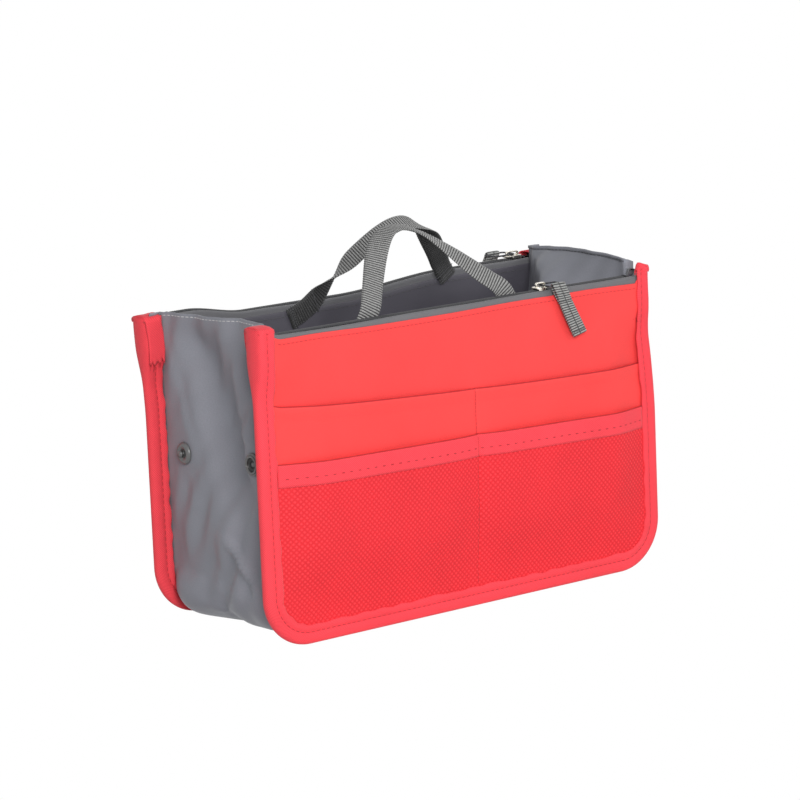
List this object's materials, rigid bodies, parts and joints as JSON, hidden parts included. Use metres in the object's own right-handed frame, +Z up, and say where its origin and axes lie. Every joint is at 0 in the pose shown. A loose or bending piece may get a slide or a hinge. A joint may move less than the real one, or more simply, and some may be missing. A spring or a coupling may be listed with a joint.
{
  "type": "toiletry bag",
  "caption": "Open toiletry bag organiser: zipped cloth panels with slip and mesh pockets, joined by a soft side and base strip, with webbing handles and press studs.",
  "frame": {"origin": "middle of the bag's footprint on the floor", "axes": "+X along the panels to the right seen from the front, +Y from the front panel to the rear panel, +Z up"},
  "size_m": [0.274, 0.1234, 0.2115],
  "materials": {
    "red_nylon": "plain woven nylon",
    "red_mesh": "raised mesh weave",
    "red_tape": "twill tape",
    "grey_satin": "satin nylon",
    "grey_lining": "plain woven nylon",
    "zip_tape": "woven tape",
    "zip_coil": "moulded coil",
    "slider_metal": "plated",
    "bail_metal": "dark plated wire",
    "webbing": "ribbed webbing",
    "stud_plastic": "moulded"
  },
  "bodies": {
    "rear_panel": {"rear_outer_panel": "red_nylon", "rear_slip_pocket": "red_nylon", "rear_mesh_pocket": "red_mesh", "rear_pocket_hem": "red_tape", "rear_lining": "grey_lining", "rear_edge_binding": "red_tape", "rear_binding_end_left": "red_tape", "rear_binding_end_right": "red_tape", "rear_zip_tape_outer": "zip_tape", "rear_zip_tape_inner": "zip_tape", "rear_zip_coil_outer": "zip_coil", "rear_zip_coil_inner": "zip_coil", "rear_zip_stop_left": "slider_metal", "rear_zip_stop_right": "slider_metal", "rear_handle_foot_left": "webbing", "rear_handle_foot_right": "webbing", "side_base_strip": "grey_satin"},
    "front_panel": {"front_outer_panel": "red_nylon", "front_slip_pocket": "red_nylon", "front_mesh_pocket": "red_mesh", "front_pocket_hem": "red_tape", "front_lining": "grey_lining", "front_edge_binding": "red_tape", "front_binding_end_left": "red_tape", "front_binding_end_right": "red_tape", "front_zip_tape_outer": "zip_tape", "front_zip_tape_inner": "zip_tape", "front_zip_coil_outer": "zip_coil", "front_zip_coil_inner": "zip_coil", "front_zip_stop_left": "slider_metal", "front_zip_stop_right": "slider_metal", "front_handle_foot_left": "webbing", "front_handle_foot_right": "webbing"},
    "front_handle": {"front_handle": "webbing"},
    "rear_handle": {"rear_handle": "webbing"},
    "front_slider": {"front_zip_slider": "slider_metal"},
    "rear_slider": {"rear_zip_slider": "slider_metal"},
    "front_pull": {"front_zip_bail": "bail_metal", "front_pull_tab": "webbing"},
    "rear_pull": {"rear_zip_bail": "bail_metal", "rear_pull_tab": "webbing"},
    "front_studs": {"front_left_stud_socket": "stud_plastic", "front_left_stud_cap": "stud_plastic", "front_right_stud_socket": "stud_plastic", "front_right_stud_cap": "stud_plastic"},
    "rear_studs": {"rear_left_stud_knob": "stud_plastic", "rear_left_stud_cap": "stud_plastic", "rear_right_stud_knob": "stud_plastic", "rear_right_stud_cap": "stud_plastic"}
  },
  "joints": [
    {"name": "narrowing", "type": "slide", "parent": "rear_panel", "child": "front_panel", "axis": [0, 1, 0], "range_m": [0, 0.024], "deforming": ["side_base_strip"]},
    {"name": "front_stud_travel", "type": "slide", "parent": "rear_panel", "child": "front_studs", "axis": [0, 1, 0], "range_m": [0, 0.01976]},
    {"name": "rear_stud_travel", "type": "slide", "parent": "rear_panel", "child": "rear_studs", "axis": [0, 1, 0], "range_m": [0, 0.00424]},
    {"name": "front_handle_swing", "type": "hinge", "parent": "front_panel", "child": "front_handle", "pos_m": [-0.0095, -0.04575, 0.1685], "axis": [1, 0, 0], "range_deg": [-5, 126]},
    {"name": "rear_handle_swing", "type": "hinge", "parent": "rear_panel", "child": "rear_handle", "pos_m": [0.023, 0.04575, 0.1685], "axis": [-1, 0, 0], "range_deg": [0, 120]},
    {"name": "front_slider_run", "type": "slide", "parent": "front_panel", "child": "front_slider", "axis": [1, 0, 0], "range_m": [-0.1765, 0.0549]},
    {"name": "rear_slider_run", "type": "slide", "parent": "rear_panel", "child": "rear_slider", "axis": [-1, 0, 0], "range_m": [0, 0.2315]},
    {"name": "front_pull_swing", "type": "hinge", "parent": "front_slider", "child": "front_pull", "pos_m": [0.05754, -0.052, 0.1695], "axis": [0, -1, 0], "range_deg": [0, 150]},
    {"name": "rear_pull_swing", "type": "hinge", "parent": "rear_slider", "child": "rear_pull", "pos_m": [0.119, 0.052, 0.1695], "axis": [0, 1, 0], "range_deg": [0, 150]}
  ],
  "couplings": [
    {"joint": "front_stud_travel", "follows": "narrowing", "ratio": 0.8232},
    {"joint": "rear_stud_travel", "follows": "narrowing", "ratio": 0.1768}
  ]
}
